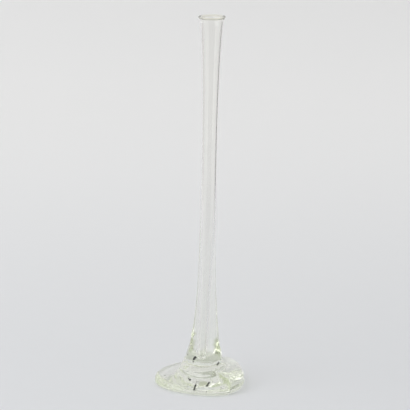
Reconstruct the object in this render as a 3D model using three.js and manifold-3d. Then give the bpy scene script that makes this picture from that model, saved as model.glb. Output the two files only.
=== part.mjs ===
// Tall clear-glass vase, blown and tooled by hand: a slim tube with a trumpet mouth, in a heavy foot.
// Millimetres, +Z up. The vase stands on Z = 0 with its bounding box centred on the Z axis, and faces -Y.
//
// Hot glass is gathered and joined in five pieces, which fuse where they touch: the blown tube with its
// closed end, the bead round its mouth, the casing that holds the tube's end, the pressed foot under the
// casing, and the drop laid round the foot's right side, from a fat head in front to a thin tail behind.

import * as THREE from "three";
import { mergeVertices } from "three/addons/utils/BufferGeometryUtils.js";
import Module from "manifold-3d";

// The blown tube
const vaseHeight = 399;
const tubeSlimRadius = 7.7;
const tubeWall = 1.3;
const tubeBaseSwell = 1.9;
const tubeTaperLength = 120;
const tubeFloor = 3.5;

// The bore, narrow in the foot and opening upwards until only the thin wall is left round it
const boreLowRadius = 3.7;
const boreOpensFrom = 80;
const boreOpensOver = 130;
const boreFloorHeight = 24;
const boreFloorRounding = 4;

// The trumpet mouth and the bead round it
const neckRadius = 12.1;
const mouthFlareLength = 52;
const mouthFlareSharpness = 1.15;
const lipTurnOut = 1.7;
const lipTurnOutLength = 3;
const beadWidth = 3.6;
const beadHeight = 2.2;
const beadSeatDepth = 0.3;
const beadInset = 1.3;

// The casing, which flares down from the tube to its seat on the foot
const casingTop = 128;
const casingFloor = 4.5;
const casingSpread = 14.6;
const casingTaperLength = 49;
const filletSpread = 4.1;
const filletRise = 8.5;

// The pressed foot
const footRadius = 47.5;
const edgeThickness = 10.6;
const edgeRollWidth = 5;
const edgeUnderRoll = 3.5;
const edgeWidestHeight = 3.2;
const crownSteepness = 2.7;
const pontilRadius = 15;
const pontilDepth = 0.5;

// Where hands pulled the foot out of round: a direction, half the stretch that follows it, and how far out
const leftPullAngle = -170;
const leftPullSpread = 50;
const leftPull = 7;
const frontPullAngle = -68;
const frontPullSpread = 40;
const frontPull = 9.5;
const rightPushAngle = 5;
const rightPushSpread = 40;
const rightPush = 6.5;

// The drop, from its head round to its tail
const dropHeadAngle = -64;
const dropHeadRounding = 22;
const dropTailAngle = 118;
const dropTailTaper = 78;
const dropHalfWidth = 11;
const dropCrestHeight = 20;
const dropDepth = 5.5;
const dropOverhang = 4;

// The stem leans to the right: sideways travel for each millimetre of height
const stemLean = 0.019;

// The seam that a piece keeps to the one round it
const seamGap = 0.3;

// Facets: round the stem, the foot and the drop, along the drop, in a quarter turn, and along a wall.
// Points on a wall crowd towards the end where it curves most.
const stemFacets = 32;
const footFacets = 64;
const dropFacets = 16;
const dropSteps = 26;
const quarterSteps = 4;
const wallSteps = 12;
const boreSteps = 20;
const crowding = 1.7;

// Places that follow from the sizes
const tubeTop = vaseHeight - beadHeight + beadSeatDepth;
const tubeBottom = boreFloorHeight - tubeFloor;
const boreStraightStart = boreFloorHeight + boreFloorRounding;
const seatHeight = tubeBottom - casingFloor;

// Laws of the shape

const clamped = (t) => Math.min(1, Math.max(0, t));
const eased = (t) => clamped(t) ** 2 * (3 - 2 * clamped(t));
const signedAngle = (a) => ((((a + 180) % 360) + 360) % 360) - 180;
const pull = (angle, at, spread, reach) => reach * Math.exp(-((signedAngle(angle - at) / spread) ** 2));

// Outer radius of the blown tube
function tubeRadius(z) {
  const fromTop = Math.max(0, tubeTop - z);
  const swell = tubeBaseSwell * Math.exp(-z / tubeTaperLength);
  const trumpet = Math.exp(-((fromTop / mouthFlareLength) ** mouthFlareSharpness));
  const turnOut = lipTurnOut * Math.exp(-fromTop / lipTurnOutLength);
  return tubeSlimRadius + swell + (neckRadius - tubeSlimRadius) * trumpet + turnOut;
}

// Radius of the bore
function boreRadius(z) {
  const widest = tubeRadius(z) - tubeWall;
  return boreLowRadius + (widest - boreLowRadius) * eased((z - boreOpensFrom) / boreOpensOver);
}

// Outer radius of the casing, by its height over its seat
function casingRadius(z) {
  const flare = casingSpread * Math.exp(-(z - seatHeight) / casingTaperLength);
  const fillet = filletSpread * Math.exp(-(z - seatHeight) / filletRise);
  return tubeSlimRadius + flare + fillet;
}

// How much of the drop there is in a direction: 0 off it, 1 along its body
function dropShare(angle) {
  const shortOfBody = 1 - clamped(signedAngle(angle - dropHeadAngle) / dropHeadRounding);
  return Math.sqrt(1 - shortOfBody ** 2) * eased(signedAngle(dropTailAngle - angle) / dropTailTaper);
}

// Outline of the whole foot from above, and of the pressed disc, which is drawn in under the drop
function outlineRadius(angle) {
  const left = pull(angle, leftPullAngle, leftPullSpread, leftPull);
  const front = pull(angle, frontPullAngle, frontPullSpread, frontPull);
  const right = pull(angle, rightPushAngle, rightPushSpread, rightPush);
  return footRadius + left + front - right;
}

function discRadius(angle) {
  return outlineRadius(angle) - dropOverhang * dropShare(angle);
}

// Profiles: lists of [radius, height], up the outside and down the inside

function arc([radius, z], halfWidth, halfHeight, fromDegrees, toDegrees) {
  const steps = 2 * Math.ceil((quarterSteps * Math.abs(toDegrees - fromDegrees)) / 180);
  return Array.from({ length: steps + 1 }, (_, i) => {
    const a = THREE.MathUtils.degToRad(fromDegrees + ((toDegrees - fromDegrees) * i) / steps);
    return [radius + halfWidth * Math.cos(a), z + halfHeight * Math.sin(a)];
  });
}

// Points on a wall whose radius is a law of height, crowded towards the first height
function wall(radiusAt, from, to, steps = wallSteps) {
  return Array.from({ length: steps + 1 }, (_, i) => {
    const z = from + (to - from) * (i / steps) ** crowding;
    return [radiusAt(z), z];
  });
}

// The tube's closed end and its wall inside the casing, or grown, the hollow that the casing has for them
function tubeEndPoints(grown) {
  const radiusAt = (z) => tubeRadius(z) + grown;
  const endRise = boreStraightStart - tubeBottom;
  const round = arc([0, boreStraightStart], radiusAt(boreStraightStart), endRise + grown, -90, 0);
  return [...round, ...wall(radiusAt, boreStraightStart, casingTop, wallSteps / 2).slice(1)];
}

function tubeProfile() {
  return [
    ...tubeEndPoints(0),
    ...wall(tubeRadius, tubeTop, casingTop).reverse().slice(1),
    ...wall(boreRadius, tubeTop, boreOpensFrom, boreSteps),
    ...wall(boreRadius, boreStraightStart, boreOpensFrom, 2).reverse().slice(1),
    ...arc([0, boreStraightStart], boreRadius(boreStraightStart), boreFloorRounding, 0, -90).slice(1),
  ];
}

// The bead is an oval, cut flat where it sits on the tube's top
function beadProfile() {
  const middle = [tubeRadius(tubeTop) - beadInset, vaseHeight - beadHeight / 2];
  const seatSine = (middle[1] - tubeTop) / (beadHeight / 2);
  const seatDegrees = THREE.MathUtils.radToDeg(Math.asin(seatSine));
  const oval = arc(middle, beadWidth / 2, beadHeight / 2, -seatDegrees, 180 + seatDegrees);
  return [...oval, oval[0]];
}

function casingOutsidePoints() {
  return wall(casingRadius, seatHeight, casingTop);
}

function casingProfile() {
  return [[0, seatHeight], ...casingOutsidePoints(), ...tubeEndPoints(seamGap).reverse()];
}

// The disc's top, from its rolled edge up to the casing's seat
function discTopPoints(angle, grown) {
  const shoulder = discRadius(angle) - edgeRollWidth;
  const rollHeight = edgeThickness - edgeWidestHeight + grown;
  const roll = arc([shoulder, edgeWidestHeight], edgeRollWidth + grown, rollHeight, 0, 90);
  const crown = Array.from({ length: quarterSteps }, (_, i) => {
    const share = (i + 1) / quarterSteps;
    const rise = (seatHeight - edgeThickness) * share ** crownSteepness;
    return [shoulder + (casingRadius(seatHeight) - shoulder) * share, edgeThickness + rise + grown];
  });
  return [...roll, ...crown];
}

function discProfile(angle) {
  const underRollMiddle = [discRadius(angle) - edgeUnderRoll, edgeWidestHeight];
  return [
    ...arc([0, 0], pontilRadius, pontilDepth, 90, 0),
    ...arc(underRollMiddle, edgeUnderRoll, edgeWidestHeight, -90, 0).slice(0, -1),
    ...discTopPoints(angle, 0),
    [0, seatHeight],
  ];
}

// The disc and the casing as the drop meets them: grown by the seam, and drawn down through the table
function dropBedProfile(angle) {
  return [
    [0, -edgeThickness],
    [discRadius(angle) + seamGap, -edgeThickness],
    ...discTopPoints(angle, seamGap).slice(0, -1),
    ...casingOutsidePoints().map(([radius, z]) => [radius + seamGap, z + seamGap]),
    [0, casingTop + seamGap],
  ];
}

// Solids

// Puts a point at a direction, radius and height, and carries it sideways with the stem's lean
function place(position, index, angle, radius, z) {
  const a = THREE.MathUtils.degToRad(angle);
  position.setXYZ(index, radius * Math.cos(a) + stemLean * z, radius * Math.sin(a), z);
}

// A lathe whose profile may change as it turns, with as many points in each direction
function turned(profileAt, facets) {
  const blank = profileAt(0).map(([radius, z]) => new THREE.Vector2(radius, z));
  const geometry = new THREE.LatheGeometry(blank, facets);
  for (let i = 0; i <= facets; i++) {
    const angle = (360 * (i % facets)) / facets;
    profileAt(angle).forEach(([radius, z], j) => {
      place(geometry.attributes.position, i * blank.length + j, angle, radius, z);
    });
  }
  return geometry;
}

// The drop: a ball drawn out along the foot's edge and pressed flat on the table, before its bed is cut
function dropBlank() {
  const ball = new THREE.SphereGeometry(1, dropFacets, dropSteps);
  const position = ball.attributes.position;
  for (let i = 0; i < position.count; i++) {
    const fromTail = (1 - position.getY(i)) / 2;
    const round = Math.atan2(position.getZ(i), position.getX(i));
    const angle = dropTailAngle + (dropHeadAngle - dropTailAngle) * fromTail;
    const share = dropShare(angle);
    const rise = Math.sin(round) > 0 ? dropCrestHeight - edgeWidestHeight : dropDepth;
    const radius = outlineRadius(angle) - dropHalfWidth * share * (1 - Math.cos(round));
    place(position, i, angle, radius, Math.max(0, edgeWidestHeight + rise * share * Math.sin(round)));
  }
  return ball;
}

const wasm = await Module();
wasm.setup();

function solidOf(geometry) {
  const bare = geometry.clone().deleteAttribute("normal").deleteAttribute("uv");
  const merged = mergeVertices(bare, 1e-4);
  const vertProperties = new Float32Array(merged.attributes.position.array);
  const triVerts = new Uint32Array(merged.index.array);
  return new wasm.Manifold(new wasm.Mesh({ numProp: 3, vertProperties, triVerts }));
}

function geometryOf(solid) {
  const { vertProperties, triVerts } = solid.getMesh();
  return new THREE.BufferGeometry()
    .setAttribute("position", new THREE.BufferAttribute(new Float32Array(vertProperties), 3))
    .setIndex(new THREE.BufferAttribute(new Uint32Array(triVerts), 1));
}

const clearGlass = new THREE.MeshStandardMaterial({ color: 0xe6ede2, roughness: 0.03, metalness: 0 });

function piece(name, solid) {
  const mesh = new THREE.Mesh(geometryOf(solid), clearGlass);
  mesh.name = name;
  return mesh;
}

const vase = new THREE.Group();
vase.add(
  piece("blown_tube", solidOf(turned(tubeProfile, stemFacets))),
  piece("lip_bead", solidOf(turned(beadProfile, stemFacets))),
  piece("stem_casing", solidOf(turned(casingProfile, stemFacets))),
  piece("pressed_foot", solidOf(turned(discProfile, footFacets))),
  piece("foot_drop", solidOf(dropBlank()).subtract(solidOf(turned(dropBedProfile, footFacets)))),
);

const middle = new THREE.Box3().setFromObject(vase).getCenter(new THREE.Vector3());
vase.position.set(-middle.x, -middle.y, 0);

export default vase;
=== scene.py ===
"""A tall clear-glass bud vase, blown and tooled by hand, standing on a pale paper sweep.

The five CAD nodes are gathers of one glass that fuse when hot, so the glass is drawn as one closed skin.
Lengths are in millimetres until a mesh is finished, and then in metres, in the frame's own axes.
"""

import math

from functools import lru_cache

import bmesh
import bpy
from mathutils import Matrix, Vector, noise


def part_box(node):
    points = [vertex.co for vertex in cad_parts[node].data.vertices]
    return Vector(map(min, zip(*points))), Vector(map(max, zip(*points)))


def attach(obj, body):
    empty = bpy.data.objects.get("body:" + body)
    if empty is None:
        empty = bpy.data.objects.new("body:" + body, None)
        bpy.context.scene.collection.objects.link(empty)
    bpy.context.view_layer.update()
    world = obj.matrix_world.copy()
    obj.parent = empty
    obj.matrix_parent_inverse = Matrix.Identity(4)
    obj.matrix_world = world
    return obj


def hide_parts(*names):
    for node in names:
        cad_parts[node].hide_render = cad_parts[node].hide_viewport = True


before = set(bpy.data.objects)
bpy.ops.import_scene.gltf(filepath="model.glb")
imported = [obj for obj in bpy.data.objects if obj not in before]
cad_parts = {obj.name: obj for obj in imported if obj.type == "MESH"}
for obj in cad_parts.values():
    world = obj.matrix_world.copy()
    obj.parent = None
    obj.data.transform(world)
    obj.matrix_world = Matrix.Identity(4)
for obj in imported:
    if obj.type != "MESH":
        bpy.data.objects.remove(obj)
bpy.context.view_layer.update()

MM = 0.001
MM_PER_METRE = 1000

# The stem, which leans to the right
TUBE_SLIM_RADIUS = 7.7
CASING_SPREAD = 14.6
CASING_TAPER_LENGTH = 49.0
FILLET_SPREAD = 4.1
FILLET_RISE = 8.5
STEM_LEAN = 0.019

# The stem's base swings left of its straight axis. The swing grows from a little under the seat and fades
# upwards
BASE_SWING = -2.6
SWING_STARTS_UNDER_SEAT = 4.0
SWING_GROWTH = 12.0
SWING_FULL_OVER_SEAT = 6.0
SWING_FADE = 24.0

# The bore, which lies left of the axis where it is narrow, and the trumpet mouth
TUBE_WALL = 1.3
BORE_LOW_RADIUS = 3.7
BORE_OPENS_FROM = 80.0
BORE_OPENS_OVER = 130.0
BORE_OFFSET = -1.6
BORE_SWELL = 1.9
BORE_TAPER_LENGTH = 120.0
BORE_FLOOR_HEIGHT = 24.0
BORE_FLOOR_ROUNDING = 4.0
NECK_RADIUS = 12.1
MOUTH_FLARE_LENGTH = 52.0
MOUTH_FLARE_SHARPNESS = 1.15
LIP_TURN_OUT = 1.7
LIP_TURN_OUT_LENGTH = 3.0
BEAD_WIDTH = 3.0
BEAD_HEIGHT = 2.2
BEAD_SEAT_DEPTH = 0.3
BEAD_INSET = 1.0

# The foot
FOOT_RADIUS = 47.35
EDGE_THICKNESS = 10.6
EDGE_ROLL_WIDTH = 5.0
EDGE_UNDER_ROLL = 3.5
EDGE_WIDEST_HEIGHT = 3.2
CROWN_STEEPNESS = 6.0
PONTIL_RADIUS = 15.0
PONTIL_DEPTH = 0.5
COLLAR_RADIUS = 23.0

# In front the edge is pressed thinner: direction, half the stretch that follows it, and how much
EDGE_THINNING = (-95.0, 45.0, 5.0)

# Where hands pulled the foot out of round: direction, half the stretch that follows it, reach
PULLS = ((-170.0, 50.0, 7.0), (-68.0, 40.0, 9.5), (5.0, 40.0, -6.5))

# The drop laid round the foot's right side
DROP_HEAD_ANGLE = -70.0
DROP_HEAD_SWEEP = 16.0
DROP_HEAD_ROUNDING = 26.0
DROP_TAIL_ANGLE = 118.0
DROP_TAIL_TAPER = 78.0
DROP_CREST_HEIGHT = 20.0
DROP_OVERHANG = 4.0
DROP_FULLNESS = 2.5
DROP_WIDEST_RISE = 3.0
FOLD_SOFTNESS = 5.0

# The camera, placed as the photograph's, with its lens given in pixels of a square picture
VIEW_DISTANCE = 2500.0
VIEW_TILT = 13.0
VIEW_AIM = (5.9, 0.0, 197.0)
FOCAL_PIXELS = 2350.0
IMAGE_PIXELS = 410.0
SENSOR_WIDTH = 36.0

# How finely the skin is divided: steps round it, rings on its flat and rolled stretches, and along the walls
# a number of rings with how much they crowd towards the end that is named
TURN_STEPS = 360
PONTIL_STEPS = 12
UNDERSIDE_STEPS = 12
TOP_STEPS = 72
ROLL_DEGREES = range(-90, 1, 10)
LIP_DEGREES = range(-45, 256, 15)
BORE_FLOOR_DEGREES = range(-10, -91, -10)
STEM_RINGS_TO_FOOT = (46, 1.8)
STEM_RINGS_TO_LIP = (36, 1.6)
BORE_RINGS_TO_LIP = (34, 1.6)
BORE_RINGS_TO_FLOOR = (24, 1.2)
STEM_RINGS_MEET = 200.0
BORE_RINGS_MEET = 230.0
STEM_STOPS_UNDER_LIP = 0.2
BORE_STARTS_UNDER_LIP = 0.5

# Marks that tools left on the hot foot: a nick on the left, then two cuts in front. Each is a stroke between
# two places, in millimetres from the stem's axis, with its half width and how far it pushes the glass
MARKS = (
    ((-19.0, -23.2, 10.6), (-15.8, -25.2, 8.9), 1.9, (0.0, 1.0, -1.4)),
    ((-8.2, -29.6, 8.5), (-10.8, -46.0, 5.5), 2.0, (0.0, 0.5, -1.6)),
    ((6.6, -29.7, 9.4), (2.2, -37.0, 6.0), 2.0, (0.0, 0.5, -1.6)),
)

# The share of a mark's half width over which its push fades, and where on the foot marks can lie
MARK_SLOPE = 0.9
MARKED_HEIGHTS = (0.5, 22.0)
MARKED_IN_FRONT_OF = -10.0

# Painted dark reflections: black painted on the skin where the glass shows dark surroundings, some along the
# cuts. Each lies between two places, given in the same way, with half its width
# Painted dark reflections: black on the skin standing in for dark surroundings seen through the glass
DARK_REFLECTIONS = (
    ((-10.6, -16.8, 32.0), (-12.6, -16.6, 30.0), 1.5),
    ((-13.0, -17.4, 27.0), (-12.8, -17.4, 27.4), 0.7),
    ((-20.0, -3.1, 32.6), (-19.7, -6.5, 31.8), 0.7),
    ((14.7, -12.8, 25.1), (13.0, -15.6, 23.7), 0.9),
    ((12.2, -12.2, 35.5), (12.4, -12.0, 35.0), 0.6),
    ((-43.7, -11.4, 10.2), (-43.3, -12.0, 10.2), 1.0),
    ((-19.0, -23.2, 10.6), (-15.8, -25.2, 8.9), 1.2),
    ((-8.2, -29.6, 8.5), (-10.4, -36.5, 6.0), 1.4),
    ((-10.5, -39.5, 5.5), (-11.2, -48.5, 5.5), 1.4),
    ((4.8, -31.5, 8.2), (2.6, -35.5, 6.0), 1.5),
    ((6.6, -29.7, 9.4), (6.9, -30.0, 9.2), 1.0),
)

# Painted olive reflections: olive painted on the skin between the cuts and at the casing's two sides, where
# the glass shows darker surroundings, given as the dark reflections are
OLIVE_REFLECTIONS = (
    ((-3.4, -33.0, 7.2), (0.6, -33.0, 7.6), 5.4),
    ((11.5, -9.0, 47.0), (14.0, -8.5, 35.0), 7.4),
    ((-11.5, -5.0, 54.0), (-13.5, -7.0, 38.0), 6.4),
)

# The lumps that hand work left on the collar and the ripples it left on the rim: how far they stand in or
# out, their size, and where in the noise they are taken from
COLLAR_LUMPS = 1.0
LUMP_SIZE = 5.5
LUMP_STRETCH = 0.8
LUMP_PLACE = (3.1, 7.7, 1.9)
RIM_RIPPLES = 0.5
RIPPLE_SIZE = 4.5
RIPPLE_PLACE = (11.3, 2.2, 5.4)

# Between which heights the skin is uneven, and where lumps and ripples come in and go out: a start, and the
# length over which they grow or fade
UNEVEN_HEIGHTS = (0.5, 75.0)
COLLAR_COMES_IN = (15.0, 6.0)
COLLAR_GOES_OUT = (48.0, 22.0)
COLLAR_TO_THE_SIDES = (0.25, 0.4)
RIM_COMES_IN = (1.0, 3.0)
RIM_GOES_OUT = (12.0, 3.0)
RIM_NEAR_THE_EDGE = (42.0, 5.0)
RIM_TO_THE_LEFT = (8.0, 12.0)

# The paper sweep in metres: its sides, where it starts, bends and ends, and how far it lies below the foot
PAPER_SIDES = (-0.9, 0.62)
PAPER_FRONT = -0.4
PAPER_BEND = 1.5
PAPER_CURVE = 0.6
PAPER_CURVE_STEPS = 16
PAPER_TOP = 2.6
PAPER_DROP = -0.0002

# The paper's colours in front and behind, with the metres between which one turns into the other: painted
# light, darker and cooler in front by the foot and brighter behind, for how the light falls on the sweep.
# Then its mottle and grain. Each noise has a scale and a detail
PAPER_NEAR = (0.712, 0.724, 0.742, 1)
PAPER_FAR = (0.92, 0.92, 0.918, 1)
PAPER_FADE = (-0.2, 1.7)
PAPER_MOTTLE = 0.012
PAPER_MOTTLE_NOISE = (40.0, 3.0)
PAPER_MOTTLE_RANGE = (0.3, 0.7)
PAPER_GRAIN_NOISE = (1500.0, 2.0)

# The glass: the skin's colours, the heights in metres between which the lip's colour comes in, and the tint
# of its body, which shows where it is thick. A rim is the share of each painted reflection that fades, and
# raggedness is how unevenly its edge runs, in millimetres
CLEAR = (1, 0.998, 0.985, 1)
LIP_OLIVE = (0.98, 0.965, 0.88, 1)
OLIVE_REFLECTION_COLOUR = (0.57, 0.62, 0.41, 1)
DARK_REFLECTION_BLACK = (0.002, 0.002, 0.002, 1)
LIP_HEIGHTS = (0.3955, 0.3972)
BODY_TINT = (0.935, 0.968, 0.83, 1)
BODY_TINT_DENSITY = 7.0
DARK_REFLECTION_ROUGHNESS = 0.3
LIP_ROUGHNESS = 0.15
DARK_REFLECTION_RIM = 0.2
DARK_REFLECTION_RAGGEDNESS = 1.6
DARK_REFLECTION_NOISE = (700.0, 2.0)
OLIVE_REFLECTION_RIM = 0.7
OLIVE_REFLECTION_RAGGEDNESS = 10.0
OLIVE_REFLECTION_NOISE = (260.0, 2.0)

# The skin's faint waves, drawn out along the height
WAVE_NOISE = (170.0, 1.0)
WAVE_STRETCH = (1.0, 1.0, 0.15)

# The light all round. It is stronger overhead, and dimmer by a share of itself low on the right, low on the
# left and on the camera's side. A stretch is in degrees round the vase, to the right from straight behind,
# with the width of its edges. Starts and ends tell how far a direction rises, from -1 straight down to 1
# straight up
ROUND_LIGHT = 0.7
OVERHEAD_LIGHT = 0.3
OVERHEAD_STARTS = (0.75, 0.9)
RIGHT_DIMNESS = 0.78
RIGHT_STRETCH = (41, 75, 4)
RIGHT_ENDS = (-0.1, 0.05)
LEFT_DIMNESS = 0.5
LEFT_STRETCH = (-60, -49, 3)
LEFT_ENDS = (-0.1, 0.0)
CAMERA_SIDE_DIMNESS = 0.48
OTHER_SIDES_STRETCH = (-130, 130, 14)
CAMERA_SIDE_ENDS = (0.5, 0.7)

# The lamps: name, place, size and watts, in metres, and where they all aim
LAMPS = (
    ("key", (-1.7, -1.15, 1.75), (3.3, 3.3), 31),
    ("right strip", (0.85, -0.85, 0.1), (0.3, 0.2), 0.12),
    ("left strip", (-0.62, -0.8, 0.1), (0.2, 0.2), 0.05),
)
LAMP_AIM = (0, 0, 0.1)

# Light passes through many skins of glass before it comes out
GLASS_BOUNCES = 48

# Places read from the frame
VASE_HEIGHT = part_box("lip_bead")[1][2] / MM
SEAT_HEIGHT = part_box("stem_casing")[0][2] / MM
TUBE_TOP = VASE_HEIGHT - BEAD_HEIGHT + BEAD_SEAT_DEPTH
BORE_STRAIGHT_START = BORE_FLOOR_HEIGHT + BORE_FLOOR_ROUNDING

# The flare is searched up to here for a radius, in so many halvings
FLARE_TOP = 4 * EDGE_THICKNESS
HALVINGS = 24


def axis_foot():
    """Where the stem's axis meets the table, worked out from the lip and the lean."""
    low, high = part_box("lip_bead")
    middle_height = (low[2] + high[2]) / 2
    return (low[0] + high[0]) / 2 / MM - STEM_LEAN * middle_height / MM, (low[1] + high[1]) / 2 / MM


AXIS_X, AXIS_Y = axis_foot()


def axis_shift(z):
    """How far the axis lies to the right at a height. Under the seat the base's swing has died away."""
    lean = STEM_LEAN * z
    above_seat = eased((z - SEAT_HEIGHT + SWING_STARTS_UNDER_SEAT) / SWING_GROWTH)
    swing = BASE_SWING * math.exp(-max(0.0, z - SEAT_HEIGHT - SWING_FULL_OVER_SEAT) / SWING_FADE)
    return lean + above_seat * swing


def clamped(t):
    return min(1.0, max(0.0, t))


def eased(t):
    return clamped(t) ** 2 * (3 - 2 * clamped(t))


def signed_angle(a):
    return (a + 180) % 360 - 180


def trumpet(z):
    """How far the mouth opens the wall at a height."""
    from_top = max(0.0, TUBE_TOP - z)
    flare = math.exp(-((from_top / MOUTH_FLARE_LENGTH) ** MOUTH_FLARE_SHARPNESS))
    turn_out = LIP_TURN_OUT * math.exp(-from_top / LIP_TURN_OUT_LENGTH)
    return (NECK_RADIUS - TUBE_SLIM_RADIUS) * flare + turn_out


def stem_radius(z):
    flare = CASING_SPREAD * math.exp(-(z - SEAT_HEIGHT) / CASING_TAPER_LENGTH)
    fillet = FILLET_SPREAD * math.exp(-(z - SEAT_HEIGHT) / FILLET_RISE)
    return TUBE_SLIM_RADIUS + flare + fillet + trumpet(z)


def bore_opening(z):
    """0 where the bore is at its narrowest, 1 where it is as wide as the thin wall lets it be."""
    return eased((z - BORE_OPENS_FROM) / BORE_OPENS_OVER)


def bore_radius(z):
    widest = TUBE_SLIM_RADIUS + BORE_SWELL * math.exp(-z / BORE_TAPER_LENGTH) + trumpet(z) - TUBE_WALL
    return BORE_LOW_RADIUS + (widest - BORE_LOW_RADIUS) * bore_opening(z)


@lru_cache(maxsize=None)
def stem_height(radius):
    """The height at which the stem's flare has a radius, found by halving."""
    low, high = SEAT_HEIGHT, FLARE_TOP
    for _ in range(HALVINGS):
        middle = (low + high) / 2
        if stem_radius(middle) > radius:
            low = middle
        else:
            high = middle
    return (low + high) / 2


def swell(angle, at, spread):
    """1 in a direction, fading away on both its sides."""
    return math.exp(-((signed_angle(angle - at) / spread) ** 2))


@lru_cache(maxsize=None)
def outline_radius(angle):
    return FOOT_RADIUS + sum(reach * swell(angle, at, spread) for at, spread, reach in PULLS)


@lru_cache(maxsize=None)
def drop_share(angle, inward=0.0):
    """How much of the drop there is in a direction. Its head slants and starts earlier towards the stem."""
    head = DROP_HEAD_ANGLE - DROP_HEAD_SWEEP * inward
    short_of_body = 1 - clamped(signed_angle(angle - head) / DROP_HEAD_ROUNDING)
    tail = eased(signed_angle(DROP_TAIL_ANGLE - angle) / DROP_TAIL_TAPER)
    return (1 - short_of_body ** DROP_FULLNESS) ** (1 / DROP_FULLNESS) * tail


def widest_height(angle):
    """How high the outline lies over the table: the drop bulges out higher than the disc's edge."""
    return EDGE_WIDEST_HEIGHT + DROP_WIDEST_RISE * drop_share(angle)


def soft_max(a, b, softness):
    """The higher of two heights, with a rounded valley where they meet."""
    near = max(softness - abs(a - b), 0.0) / softness if softness > 0 else 0.0
    return max(a, b) + near * near * softness / 4


@lru_cache(maxsize=None)
def edge_thickness(angle):
    at, spread, thinner = EDGE_THINNING
    return EDGE_THICKNESS - thinner * swell(angle, at, spread)


def disc_top(angle, radius):
    """Height of the pressed disc's top at a radius, up to the stem's flare."""
    thickness = edge_thickness(angle)
    edge = outline_radius(angle) - DROP_OVERHANG * drop_share(angle)
    shoulder = edge - EDGE_ROLL_WIDTH
    seat_radius = stem_radius(SEAT_HEIGHT)
    if radius <= seat_radius:
        return stem_height(radius)
    if radius <= shoulder:
        share = (shoulder - radius) / (shoulder - seat_radius)
        return thickness + (SEAT_HEIGHT - thickness) * share ** CROWN_STEEPNESS
    across = clamped((radius - shoulder) / EDGE_ROLL_WIDTH)
    return EDGE_WIDEST_HEIGHT + (thickness - EDGE_WIDEST_HEIGHT) * math.sqrt(1 - across ** 2)


def foot_top(angle, radius):
    """Height of the foot's top: the disc, with the drop lying on it."""
    outline = outline_radius(angle)
    outward = (radius - COLLAR_RADIUS) / (outline - COLLAR_RADIUS)
    across = abs(2 * outward - 1)
    share = drop_share(angle, clamped(1 - outward))
    base = widest_height(angle)
    rise = (DROP_CREST_HEIGHT - base) * share
    drop = base + rise * max(0.0, 1 - across ** DROP_FULLNESS) ** (1 / DROP_FULLNESS)
    disc = disc_top(angle, radius)
    softness = min(FOLD_SOFTNESS, max(disc, drop) - base)
    return soft_max(disc, drop, softness)


# The skin is a path of rings. Each ring is a law that gives (radius, height) in a direction.

def arc_ring(middle_radius, middle_height, half_width, half_height, degrees):
    a = math.radians(degrees)
    return lambda angle: (
        middle_radius(angle) + half_width * math.cos(a), middle_height + half_height * math.sin(a))


def under_roll(angle):
    """How far in from the outline the flat underside ends."""
    return EDGE_UNDER_ROLL + widest_height(angle) - EDGE_WIDEST_HEIGHT


def under_roll_ring(degrees):
    a = math.radians(degrees)

    def law(angle):
        inward = under_roll(angle) * (1 - math.cos(a))
        return outline_radius(angle) - inward, widest_height(angle) * (1 + math.sin(a))

    return law


def underside_rings():
    """From the middle of the pontil hollow out along the flat, and up to the outline."""
    rings = []
    for i in range(PONTIL_STEPS + 1):
        share = i / PONTIL_STEPS
        dish = PONTIL_DEPTH * (1 - eased(share))
        rings.append(lambda angle, share=share, dish=dish: (PONTIL_RADIUS * share, dish))
    for i in range(1, UNDERSIDE_STEPS):

        def law(angle, share=i / UNDERSIDE_STEPS):
            flat = outline_radius(angle) - under_roll(angle) - PONTIL_RADIUS
            return PONTIL_RADIUS + flat * share, 0.0

        rings.append(law)
    return rings + [under_roll_ring(degrees) for degrees in ROLL_DEGREES]


def top_rings():
    """From the outline in to the collar, crowded near the outline where the edge rolls over."""
    rings = []
    for i in range(1, TOP_STEPS + 1):
        inward = 1 - math.cos(math.pi / 2 * i / TOP_STEPS)

        def law(angle, inward=inward):
            outline = outline_radius(angle)
            radius = outline + (COLLAR_RADIUS - outline) * inward
            return radius, foot_top(angle, radius)

        rings.append(law)
    return rings


def wall_heights(crowded_end, other_end, steps, crowding):
    return [crowded_end + (other_end - crowded_end) * (i / steps) ** crowding for i in range(steps + 1)]


def stem_rings():
    lower = wall_heights(stem_height(COLLAR_RADIUS), STEM_RINGS_MEET, *STEM_RINGS_TO_FOOT)[1:]
    upper = wall_heights(TUBE_TOP - STEM_STOPS_UNDER_LIP, STEM_RINGS_MEET, *STEM_RINGS_TO_LIP)[::-1][1:]
    return [lambda angle, z=z: (stem_radius(z), z) for z in lower + upper]


def lip_rings():
    middle = stem_radius(TUBE_TOP) - BEAD_INSET
    middle_height = VASE_HEIGHT - BEAD_HEIGHT / 2
    return [arc_ring(lambda _: middle, middle_height, BEAD_WIDTH / 2, BEAD_HEIGHT / 2, d)
            for d in LIP_DEGREES]


def bore_rings():
    upper = wall_heights(TUBE_TOP - BORE_STARTS_UNDER_LIP, BORE_RINGS_MEET, *BORE_RINGS_TO_LIP)
    lower = wall_heights(BORE_STRAIGHT_START, BORE_RINGS_MEET, *BORE_RINGS_TO_FLOOR)[::-1][1:]
    walls = [lambda angle, z=z: (bore_radius(z), z) for z in upper + lower]
    floor_radius = bore_radius(BORE_STRAIGHT_START)
    rounding = [arc_ring(lambda _: 0.0, BORE_STRAIGHT_START, floor_radius, BORE_FLOOR_ROUNDING, d)
                for d in BORE_FLOOR_DEGREES]
    return walls + rounding


def skin_rings():
    return underside_rings() + top_rings() + stem_rings() + lip_rings() + bore_rings()


def grown(value, start, length):
    """0 up to the start, then growing to 1 over a length."""
    return eased((value - start) / length)


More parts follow.
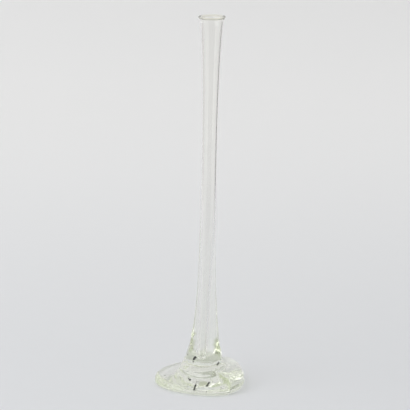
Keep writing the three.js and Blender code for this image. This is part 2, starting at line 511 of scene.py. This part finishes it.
def unevenness(x, y, z):
    """How far hand work leaves the skin in or out: over the collar beside the bore, and along the rim."""
    radius = math.hypot(x, y)
    collar = grown(z, *COLLAR_COMES_IN) * (1 - grown(z, *COLLAR_GOES_OUT))
    collar *= grown(abs(x) / radius, *COLLAR_TO_THE_SIDES)
    rim = grown(z, *RIM_COMES_IN) * (1 - grown(z, *RIM_GOES_OUT))
    rim = rim * grown(radius, *RIM_NEAR_THE_EDGE) * grown(-x, *RIM_TO_THE_LEFT)
    lumps = noise.noise(Vector((x, y, LUMP_STRETCH * z)) / LUMP_SIZE + Vector(LUMP_PLACE))
    ripples = noise.noise(Vector((x, y, z)) / RIPPLE_SIZE + Vector(RIPPLE_PLACE))
    return COLLAR_LUMPS * collar * lumps + RIM_RIPPLES * rim * ripples


def marked(place):
    """A place on the foot's skin after hands and tools have touched it."""
    x, y, z = place
    if UNEVEN_HEIGHTS[0] < z < UNEVEN_HEIGHTS[1]:
        out = unevenness(x, y, z) / math.hypot(x, y)
        x, y = x + x * out, y + y * out
        place = (x, y, z)
    if z < MARKED_HEIGHTS[0] or z > MARKED_HEIGHTS[1] or y > MARKED_IN_FRONT_OF:
        return place
    place = Vector(place)
    for start, end, half_width, push in MARKS:
        start, end = Vector(start), Vector(end)
        along = clamped((place - start).dot(end - start) / (end - start).length_squared)
        gap = (place - start.lerp(end, along)).length
        place = place + Vector(push) * eased((half_width - gap) / (half_width * MARK_SLOPE))
    return place


def rolled_skin(name, rings, first_bore_ring):
    """A closed skin: a grid is rolled up, each of its rows becomes a ring, and each ring takes its law."""
    bm = bmesh.new()
    bmesh.ops.create_grid(bm, x_segments=TURN_STEPS, y_segments=len(rings) - 1, size=1)
    for vert in bm.verts:
        turn = round((vert.co.x + 1) / 2 * TURN_STEPS) % TURN_STEPS
        ring = round((vert.co.y + 1) / 2 * (len(rings) - 1))
        angle = signed_angle(360 / TURN_STEPS * turn)
        radius, z = rings[ring](angle)
        a = math.radians(angle)
        x, y = radius * math.cos(a), radius * math.sin(a)
        if ring < first_bore_ring:
            x, y, z = marked((x, y, z))
        else:
            x += BORE_OFFSET * (1 - bore_opening(z))
        vert.co = Vector((AXIS_X + axis_shift(z) + x, AXIS_Y + y, z)) * MM
    bmesh.ops.remove_doubles(bm, verts=bm.verts, dist=1e-6)
    bmesh.ops.recalc_face_normals(bm, faces=bm.faces)
    for face in bm.faces:
        face.smooth = True
    mesh = bpy.data.meshes.new(name)
    bm.to_mesh(mesh)
    bm.free()
    piece = bpy.data.objects.new(name, mesh)
    bpy.context.scene.collection.objects.link(piece)
    return piece


# Shader maths, written as expressions

class Maker:
    """Adds nodes to one tree: a type, its settings, and the values or links of its sockets."""

    def __init__(self, tree):
        self.tree = tree
        tree.nodes.clear()

    def node(self, kind, settings=None, **sockets):
        made = self.tree.nodes.new(kind)
        for name, value in (settings or {}).items():
            setattr(made, name, value)
        for name, value in sockets.items():
            self.feed(made.inputs[name.replace("_", " ")], value)
        return made

    def maths(self, operation, *numbers):
        made = self.node("ShaderNodeMath", {"operation": operation})
        for place, value in zip(made.inputs, numbers):
            self.feed(place, value)
        return self.value(made)

    def feed(self, place, value):
        if isinstance(value, Value):
            self.tree.links.new(value.socket, place)
        elif isinstance(value, bpy.types.NodeSocket):
            self.tree.links.new(value, place)
        else:
            place.default_value = value

    def value(self, made, output=0):
        return Value(self, made.outputs[output])

    def mixed(self, share, one, other):
        """One colour turning into another."""
        made = self.node("ShaderNodeMix", {"data_type": "RGBA"})
        for place, value in zip((0, 6, 7), (share, one, other)):
            self.feed(made.inputs[place], value)
        return made.outputs[2]


class Value:
    """A number from a socket. An expression on values adds its Math nodes."""

    def __init__(self, maker, socket):
        self.maker = maker
        self.socket = socket

    def __add__(self, other):
        return self.maker.maths("ADD", self, other)

    def __radd__(self, other):
        return self.maker.maths("ADD", other, self)

    def __sub__(self, other):
        return self.maker.maths("SUBTRACT", self, other)

    def __rsub__(self, other):
        return self.maker.maths("SUBTRACT", other, self)

    def __mul__(self, other):
        return self.maker.maths("MULTIPLY", self, other)

    def __rmul__(self, other):
        return self.maker.maths("MULTIPLY", other, self)

    def __truediv__(self, other):
        return self.maker.maths("DIVIDE", self, other)

    def __pow__(self, other):
        return self.maker.maths("POWER", self, other)

    def step(self, low, high):
        """0 below low and 1 above high, with a smooth rise between them."""
        smooth = {"interpolation_type": "SMOOTHSTEP"}
        made = self.maker.node("ShaderNodeMapRange", smooth, Value=self, From_Min=low, From_Max=high)
        return self.maker.value(made)

    def band(self, low, high, edge):
        """1 between low and high, falling smoothly to 0 over an edge."""
        return self.step(low - edge, low) * (1 - self.step(high, high + edge))


# Materials

def split(maker, place):
    parts = maker.node("ShaderNodeSeparateXYZ", Vector=place)
    return [maker.value(parts, i) for i in range(3)]


def uneven(maker, place, scale, detail):
    """Noise about 0.5."""
    return maker.value(maker.node("ShaderNodeTexNoise", Vector=place, Scale=scale, Detail=detail))


def spotted(maker, place, spots, rim, ragged):
    """1 inside the spots, 0 on the rest of the glass. A share of each spot is its soft rim, and its edge is
    ragged.
    """
    x, y, z = [MM_PER_METRE * value for value in split(maker, place)]
    x, y = x - AXIS_X - STEM_LEAN * z, y - AXIS_Y
    share = 0.0
    for start, end, half_width in spots:
        way = [b - a for a, b in zip(start, end)]
        gone = [v - a for v, a in zip((x, y, z), start)]
        along = (gone[0] * way[0] + gone[1] * way[1] + gone[2] * way[2]) / sum(w * w for w in way)
        along = maker.maths("MAXIMUM", along, 0.0)
        along = maker.maths("MINIMUM", along, 1.0)
        off = [g - along * w for g, w in zip(gone, way)]
        gap = (off[0] * off[0] + off[1] * off[1] + off[2] * off[2]) ** 0.5
        spot = 1 - (gap + ragged).step((1 - rim) * half_width, half_width)
        share = maker.maths("MAXIMUM", spot, share)
    return share


def glass_material():
    """Clear glass with a tint in its body, a warm lip, painted olive and dark reflections and a faintly wavy
    skin.
    """
    material = bpy.data.materials.new("clear_glass")
    material.use_nodes = True
    maker = Maker(material.node_tree)
    place = maker.node("ShaderNodeTexCoord").outputs["Object"]
    fine = uneven(maker, place, *DARK_REFLECTION_NOISE) - 0.5
    coarse = uneven(maker, place, *OLIVE_REFLECTION_NOISE) - 0.5
    # Painted dark reflections and painted olive reflections: masks that darken the skin's colour where the
    # glass shows darker surroundings
    dark_reflection = spotted(maker, place, DARK_REFLECTIONS, DARK_REFLECTION_RIM, fine * DARK_REFLECTION_RAGGEDNESS)
    olive_reflection = spotted(maker, place, OLIVE_REFLECTIONS, OLIVE_REFLECTION_RIM, coarse * OLIVE_REFLECTION_RAGGEDNESS)
    lip = split(maker, place)[2].step(*LIP_HEIGHTS)
    clear = maker.mixed(lip, CLEAR, LIP_OLIVE)
    # The painted olive reflections, then the painted dark reflections, darken the skin's colour
    with_olive_reflections = maker.mixed(olive_reflection, clear, OLIVE_REFLECTION_COLOUR)
    colour = maker.mixed(dark_reflection, with_olive_reflections, DARK_REFLECTION_BLACK)
    drawn_out = maker.node("ShaderNodeMapping", Vector=place, Scale=WAVE_STRETCH).outputs[0]
    waves = uneven(maker, drawn_out, *WAVE_NOISE)
    bump = maker.node("ShaderNodeBump", Strength=0.08, Distance=0.0002, Height=waves)
    roughness = dark_reflection * DARK_REFLECTION_ROUGHNESS + lip * LIP_ROUGHNESS
    glass = maker.node(
        "ShaderNodeBsdfPrincipled", Base_Color=colour, Roughness=roughness, IOR=1.5, Transmission_Weight=1.0,
        Normal=bump.outputs[0])
    tint = maker.node("ShaderNodeVolumeAbsorption", Color=BODY_TINT, Density=BODY_TINT_DENSITY)
    maker.node("ShaderNodeOutputMaterial", Surface=glass.outputs[0], Volume=tint.outputs[0])
    return material


def paper_material():
    """Matt paper, painted darker and cooler in front, lighter behind, with a faint mottle and a fine grain.
    """
    material = bpy.data.materials.new("paper")
    material.use_nodes = True
    maker = Maker(material.node_tree)
    place = maker.node("ShaderNodeTexCoord").outputs["Object"]
    back = split(maker, place)[1]
    # Painted light: the paper turns from darker in front to brighter behind, for how the light falls on the
    # sweep
    lit_and_shaded_paper = maker.mixed(back.step(*PAPER_FADE), PAPER_NEAR, PAPER_FAR)
    mottle = uneven(maker, place, *PAPER_MOTTLE_NOISE).step(*PAPER_MOTTLE_RANGE)
    colour = maker.mixed(mottle * PAPER_MOTTLE, lit_and_shaded_paper, (1, 1, 1, 1))
    grain = uneven(maker, place, *PAPER_GRAIN_NOISE)
    bump = maker.node("ShaderNodeBump", Strength=0.05, Distance=0.0001, Height=grain)
    paper = maker.node("ShaderNodeBsdfPrincipled", Base_Color=colour, Roughness=0.9, Normal=bump.outputs[0])
    maker.node("ShaderNodeOutputMaterial", Surface=paper.outputs[0])
    return material


# The sweep, the light and the camera

def paper_sweep():
    """A sheet that lies flat under the vase, bends up behind it and stands behind the view."""
    bm = bmesh.new()
    left, right = PAPER_SIDES
    line = [(PAPER_FRONT, PAPER_DROP), (PAPER_BEND, PAPER_DROP)]
    for i in range(1, PAPER_CURVE_STEPS + 1):
        a = math.pi / 2 * i / PAPER_CURVE_STEPS
        line.append((PAPER_BEND + PAPER_CURVE * math.sin(a), PAPER_CURVE * (1 - math.cos(a)) + PAPER_DROP))
    line.append((PAPER_BEND + PAPER_CURVE, PAPER_TOP))
    verts = [bm.verts.new((left, y, z)) for y, z in line]
    edges = [bm.edges.new(pair) for pair in zip(verts, verts[1:])]
    moved = bmesh.ops.extrude_edge_only(bm, edges=edges)["geom"]
    for v in moved:
        if isinstance(v, bmesh.types.BMVert):
            v.co.x = right
    bmesh.ops.recalc_face_normals(bm, faces=bm.faces)
    mesh = bpy.data.meshes.new("sweep")
    bm.to_mesh(mesh)
    bm.free()
    for polygon in mesh.polygons:
        polygon.use_smooth = True
    sweep = bpy.data.objects.new("sweep", mesh)
    bpy.context.scene.collection.objects.link(sweep)
    sweep.data.materials.append(paper_material())


def area_lamp(name, place, size, watts):
    lamp = bpy.data.lights.new(name, "AREA")
    lamp.shape = "RECTANGLE"
    lamp.size, lamp.size_y = size
    lamp.energy = watts
    holder = bpy.data.objects.new(name, lamp)
    holder.location = place
    holder.rotation_euler = (Vector(LAMP_AIM) - Vector(place)).to_track_quat("-Z", "Y").to_euler()
    bpy.context.scene.collection.objects.link(holder)


def studio():
    """Light all round, stronger overhead, and dimmer low down on the right and left and round the camera."""
    world = bpy.data.worlds.new("studio")
    bpy.context.scene.world = world
    world.use_nodes = True
    maker = Maker(world.node_tree)
    x, y, z = split(maker, maker.node("ShaderNodeTexCoord").outputs["Generated"])
    azimuth = maker.maths("ARCTAN2", x, y) * (180 / math.pi)
    overhead = z.step(*OVERHEAD_STARTS)
    dim_right = azimuth.band(*RIGHT_STRETCH) * (1 - z.step(*RIGHT_ENDS))
    dim_left = azimuth.band(*LEFT_STRETCH) * (1 - z.step(*LEFT_ENDS))
    camera_side = (1 - azimuth.band(*OTHER_SIDES_STRETCH)) * (1 - z.step(*CAMERA_SIDE_ENDS))
    bright = (ROUND_LIGHT + OVERHEAD_LIGHT * overhead) * (1 - RIGHT_DIMNESS * dim_right)
    bright = bright * (1 - LEFT_DIMNESS * dim_left) * (1 - CAMERA_SIDE_DIMNESS * camera_side)
    light = maker.node("ShaderNodeBackground", Color=(1, 1, 1, 1), Strength=bright)
    maker.node("ShaderNodeOutputWorld", Surface=light.outputs[0])
    for lamp in LAMPS:
        area_lamp(*lamp)


def camera():
    """Far away behind a long lens, looking down a little."""
    tilt = math.radians(VIEW_TILT)
    ahead = Vector((0, math.cos(tilt), -math.sin(tilt)))
    data = bpy.data.cameras.new("view")
    data.sensor_width = SENSOR_WIDTH
    data.lens = SENSOR_WIDTH * FOCAL_PIXELS / IMAGE_PIXELS
    holder = bpy.data.objects.new("view", data)
    holder.location = (Vector(VIEW_AIM) - ahead * VIEW_DISTANCE) * MM
    holder.rotation_euler = ahead.to_track_quat("-Z", "Y").to_euler()
    bpy.context.scene.collection.objects.link(holder)
    bpy.context.scene.camera = holder


bpy.context.scene.view_settings.view_transform = "Standard"
cycles = bpy.context.scene.cycles
cycles.max_bounces = GLASS_BOUNCES
cycles.glossy_bounces = GLASS_BOUNCES
cycles.transmission_bounces = GLASS_BOUNCES
cycles.transparent_max_bounces = 16
cycles.blur_glossy = 0.0
camera()
studio()
paper_sweep()

vase = rolled_skin("vase_glass", skin_rings(), len(skin_rings()) - len(bore_rings()))
vase.data.materials.append(glass_material())
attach(vase, "root")
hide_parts("blown_tube", "lip_bead", "stem_casing", "pressed_foot", "foot_drop")
